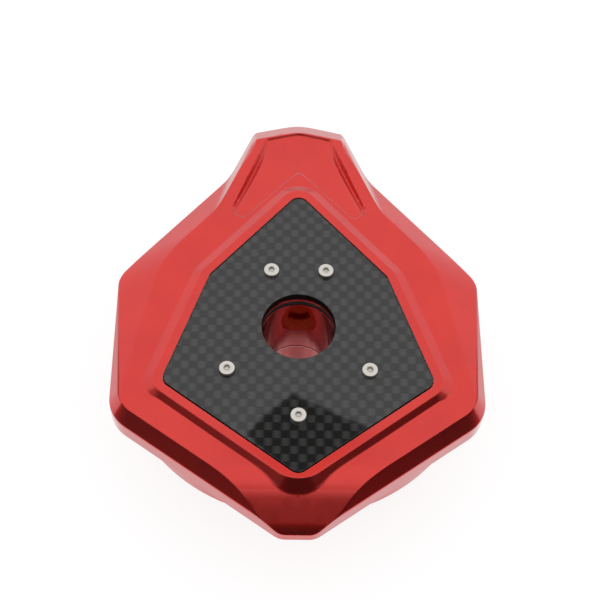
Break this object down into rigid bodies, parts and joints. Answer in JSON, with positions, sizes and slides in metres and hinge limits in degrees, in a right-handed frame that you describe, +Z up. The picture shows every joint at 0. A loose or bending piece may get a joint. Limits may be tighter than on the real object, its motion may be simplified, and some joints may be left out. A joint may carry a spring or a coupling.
{
  "type": "motorcycle fuel tank filler cap",
  "caption": "Hinged, lockable filler cap for a motorcycle fuel tank: faceted red lid with a carbon insert and a lock bore, on a round base flange with a latching plug below.",
  "frame": {"origin": "centre of the circle of tank screws, on the base flange's tank face", "axes": "+Z up along the lock bore, +Y from the tip towards the hinge under the nose, +X to the right"},
  "size_m": [0.1124, 0.1448, 0.0489],
  "materials": {
    "red_anodised": "satin red anodised, machined",
    "black_anodised": "satin black anodised",
    "carbon": "plain-weave carbon fibre under clear resin",
    "stainless": "satin stainless steel",
    "spring_steel": "drawn spring wire",
    "bronze": "turned bronze",
    "rubber": "fuel-proof black rubber"
  },
  "bodies": {
    "base": {"base_flange": "red_anodised", "base_gasket": "rubber", "hinge_pin": "stainless", "hinge_spring": "spring_steel"},
    "lid": {"lid_body": "red_anodised", "carbon_insert": "carbon", "insert_screws": "stainless", "bore_ring": "rubber", "hinge_bushes": "bronze", "plug_housing": "black_anodised", "plug_screws": "stainless", "neck_seal": "rubber", "bottom_cover": "black_anodised", "cover_screws": "stainless", "vent_seat": "bronze", "vent_spring": "spring_steel", "lid_buffers": "rubber"},
    "cam": {"lock_cam": "bronze"},
    "latch_left": {"latch_bar_left": "stainless", "follower_left": "bronze"},
    "latch_right": {"latch_bar_right": "stainless", "follower_right": "bronze"},
    "vent": {"vent_ball": "stainless"}
  },
  "joints": [
    {"name": "lid_hinge", "type": "hinge", "parent": "base", "child": "lid", "pos_m": [0, 0.0745, 0.0078], "axis": [-1, 0, 0], "range_deg": [0, 95], "deforming": ["hinge_spring"]},
    {"name": "cam_turn", "type": "hinge", "parent": "lid", "child": "cam", "pos_m": [0, 0, -0.0172], "axis": [0, 0, 1], "range_deg": [0, 90]},
    {"name": "latch_left_slide", "type": "slide", "parent": "lid", "child": "latch_left", "axis": [-1, 0, 0], "range_m": [0, 0.0043]},
    {"name": "latch_right_slide", "type": "slide", "parent": "lid", "child": "latch_right", "axis": [1, 0, 0], "range_m": [0, 0.0043]},
    {"name": "vent_lift", "type": "slide", "parent": "lid", "child": "vent", "axis": [0, 0, -1], "range_m": [0, 0.001], "stiffness_N_per_m": 60, "springref_m": -0.001, "deforming": ["vent_spring"]}
  ],
  "couplings": [
    {"joint": "latch_left_slide", "follows": "cam_turn", "m_per_rad": 0.002737},
    {"joint": "latch_right_slide", "follows": "cam_turn", "m_per_rad": 0.002737}
  ]
}
